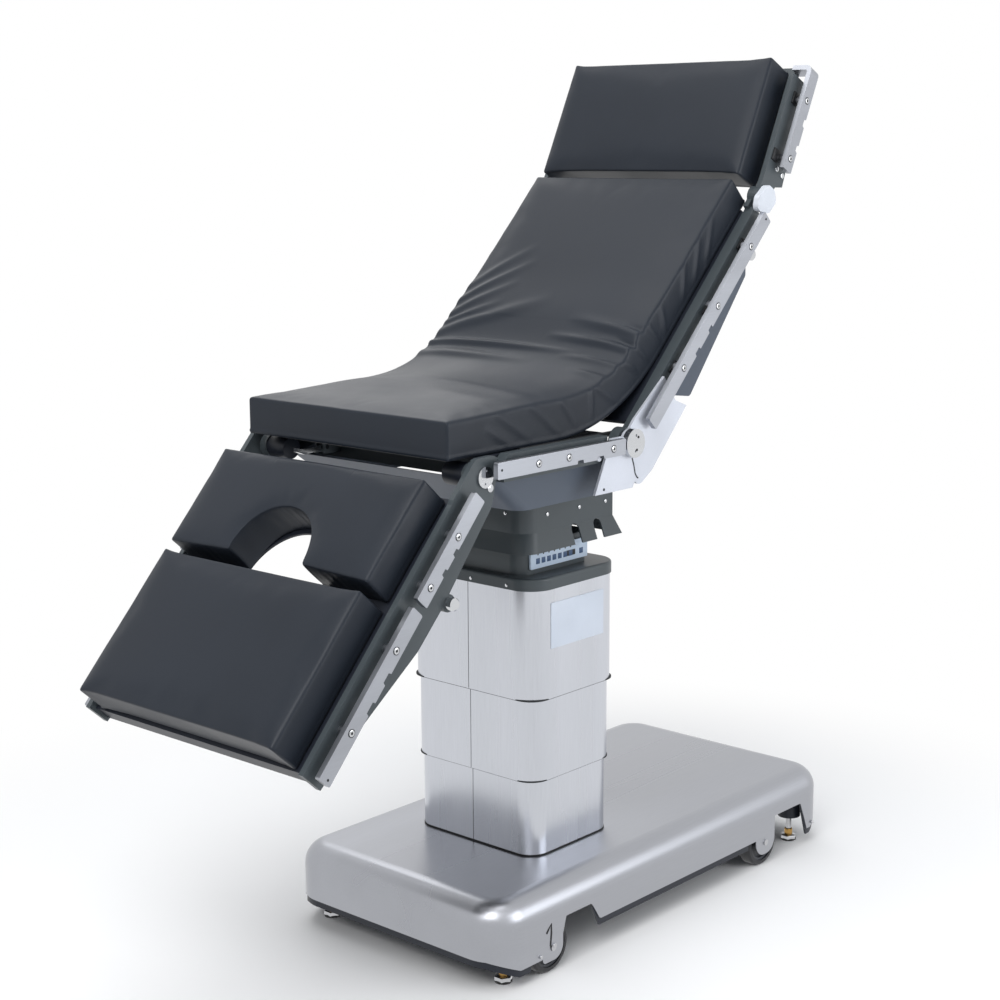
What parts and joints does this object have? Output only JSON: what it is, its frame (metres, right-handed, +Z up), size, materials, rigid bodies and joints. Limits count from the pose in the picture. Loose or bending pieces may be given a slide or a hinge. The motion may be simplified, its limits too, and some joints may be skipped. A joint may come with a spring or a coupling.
{
  "type": "operating table",
  "caption": "Mobile operating table: telescopic column on a wheeled steel base, padded seat, leg, back and upper back sections on hinges, side rails.",
  "frame": {"origin": "on the floor under the centre of the table's box", "axes": "+Z up, +X towards the back and head end, -X towards the leg end, -Y the side with the control panel"},
  "size_m": [1.5394, 0.5884, 1.6288],
  "materials": {
    "base_steel": "brushed stainless steel",
    "column_steel": "brushed stainless steel",
    "rail_steel": "satin stainless steel",
    "bright_steel": "ground steel",
    "satin_plate": "satin anodised plate",
    "chrome": "bright chrome",
    "casting_grey": "satin grey-green paint",
    "housing_blue": "fine-grained blue-grey moulding",
    "dark_paint": "satin navy-black paint",
    "panel_plastic": "pale blue-grey membrane panel",
    "white_cap": "semi-gloss white moulding",
    "wheel_rubber": "dark rubber",
    "wheel_plastic": "dark moulded hub",
    "cushion_cover": "dark blue-grey coated fabric"
  },
  "bodies": {
    "base": {"base_cover": "base_steel", "base_chassis": "dark_paint", "wheel_brackets": "dark_paint", "wheel_axles": "bright_steel", "lower_sleeve": "column_steel", "base_guide": "bright_steel"},
    "front_left_wheel": {"front_left_wheel_tyre": "wheel_rubber", "front_left_wheel_hub": "wheel_plastic"},
    "front_right_wheel": {"front_right_wheel_tyre": "wheel_rubber", "front_right_wheel_hub": "wheel_plastic"},
    "rear_left_wheel": {"rear_left_wheel_tyre": "wheel_rubber", "rear_left_wheel_hub": "wheel_plastic"},
    "rear_right_wheel": {"rear_right_wheel_tyre": "wheel_rubber", "rear_right_wheel_hub": "wheel_plastic"},
    "front_left_foot_jack": {"front_left_foot": "bright_steel"},
    "front_right_foot_jack": {"front_right_foot": "bright_steel"},
    "rear_left_foot_jack": {"rear_left_foot": "bright_steel"},
    "rear_right_foot_jack": {"rear_right_foot": "bright_steel"},
    "middle_stage": {"middle_sleeve": "column_steel", "middle_guide": "bright_steel"},
    "upper_stage": {"upper_sleeve": "column_steel", "lift_ram": "bright_steel", "column_collar": "casting_grey", "neck_housing": "housing_blue", "control_panel": "panel_plastic", "tilt_bracket": "casting_grey"},
    "tilt_head": {"gimbal_cross": "casting_grey", "skirt": "casting_grey"},
    "seat": {"seat_hull": "housing_blue", "seat_frame": "casting_grey", "pitch_axle": "bright_steel", "seat_deck": "dark_paint", "seat_rails": "rail_steel", "seat_rail_studs": "rail_steel", "seat_hinge_plates": "satin_plate", "back_hinge_pins": "chrome", "seat_cushion": "cushion_cover"},
    "lever": {"release_lever": "chrome"},
    "leg": {"leg_side_plates": "casting_grey", "leg_hinge_drums": "chrome", "leg_deck": "dark_paint", "cutout_cushion": "cushion_cover", "leg_end_cushion": "cushion_cover", "leg_rails_near": "rail_steel", "leg_rails_far": "rail_steel", "leg_rail_studs": "rail_steel"},
    "leg_knob": {"leg_lock_knob": "chrome"},
    "back": {"back_frame": "casting_grey", "back_deck": "dark_paint", "back_housing": "housing_blue", "back_hinge_plates": "satin_plate", "back_rails": "rail_steel", "back_rail_studs": "rail_steel", "back_cushion": "cushion_cover", "upper_hinge_caps": "white_cap"},
    "back_knob": {"back_release_knob": "chrome"},
    "upper_back": {"upper_frame": "casting_grey", "upper_rails": "rail_steel", "upper_rail_studs": "rail_steel", "upper_cushion": "cushion_cover"}
  },
  "joints": [
    {"name": "front_left_wheel_spin", "type": "hinge", "parent": "base", "child": "front_left_wheel", "pos_m": [-0.1387, 0.246, 0.05], "axis": [0, 1, 0], "continuous": true},
    {"name": "front_right_wheel_spin", "type": "hinge", "parent": "base", "child": "front_right_wheel", "pos_m": [-0.1387, -0.246, 0.05], "axis": [0, 1, 0], "continuous": true},
    {"name": "rear_left_wheel_spin", "type": "hinge", "parent": "base", "child": "rear_left_wheel", "pos_m": [0.5393, 0.246, 0.05], "axis": [0, 1, 0], "continuous": true},
    {"name": "rear_right_wheel_spin", "type": "hinge", "parent": "base", "child": "rear_right_wheel", "pos_m": [0.5393, -0.246, 0.05], "axis": [0, 1, 0], "continuous": true},
    {"name": "front_left_foot_travel", "type": "slide", "parent": "base", "child": "front_left_foot_jack", "axis": [0, 0, 1], "range_m": [0, 0.012]},
    {"name": "front_right_foot_travel", "type": "slide", "parent": "base", "child": "front_right_foot_jack", "axis": [0, 0, 1], "range_m": [0, 0.012]},
    {"name": "rear_left_foot_travel", "type": "slide", "parent": "base", "child": "rear_left_foot_jack", "axis": [0, 0, 1], "range_m": [0, 0.012]},
    {"name": "rear_right_foot_travel", "type": "slide", "parent": "base", "child": "rear_right_foot_jack", "axis": [0, 0, 1], "range_m": [0, 0.012]},
    {"name": "middle_lift", "type": "slide", "parent": "base", "child": "middle_stage", "axis": [0, 0, 1], "range_m": [-0.11, 0.06]},
    {"name": "upper_lift", "type": "slide", "parent": "middle_stage", "child": "upper_stage", "axis": [0, 0, 1], "range_m": [-0.11, 0.06]},
    {"name": "side_tilt", "type": "hinge", "parent": "upper_stage", "child": "tilt_head", "pos_m": [0.0453, 0, 0.8], "axis": [1, 0, 0], "range_deg": [-18, 18]},
    {"name": "table_pitch", "type": "hinge", "parent": "tilt_head", "child": "seat", "pos_m": [0.0453, 0, 0.872], "axis": [0, 1, 0], "range_deg": [-25, 25]},
    {"name": "leg_fold", "type": "hinge", "parent": "seat", "child": "leg", "pos_m": [-0.3193, 0, 0.9306], "axis": [0, -1, 0], "range_deg": [-46, 42]},
    {"name": "back_raise", "type": "hinge", "parent": "seat", "child": "back", "pos_m": [0.0563, 0, 0.943], "axis": [0, -1, 0], "range_deg": [-60, 36]},
    {"name": "upper_fold", "type": "hinge", "parent": "back", "child": "upper_back", "pos_m": [0.46988, 0, 1.36378], "axis": [0, -1, 0], "range_deg": [-50, 5]},
    {"name": "lever_pull", "type": "hinge", "parent": "seat", "child": "lever", "pos_m": [-0.2997, 0.134, 0.938], "axis": [0, -1, 0], "range_deg": [0, 25]},
    {"name": "leg_knob_pull", "type": "slide", "parent": "leg", "child": "leg_knob", "axis": [0, -1, 0], "range_m": [0, 0.006]},
    {"name": "back_knob_pull", "type": "slide", "parent": "back", "child": "back_knob", "axis": [0, -1, 0], "range_m": [0, 0.006]}
  ],
  "couplings": [
    {"joint": "front_right_foot_travel", "follows": "front_left_foot_travel", "ratio": 1},
    {"joint": "rear_left_foot_travel", "follows": "front_left_foot_travel", "ratio": 1},
    {"joint": "rear_right_foot_travel", "follows": "front_left_foot_travel", "ratio": 1},
    {"joint": "upper_lift", "follows": "middle_lift", "ratio": 1}
  ]
}
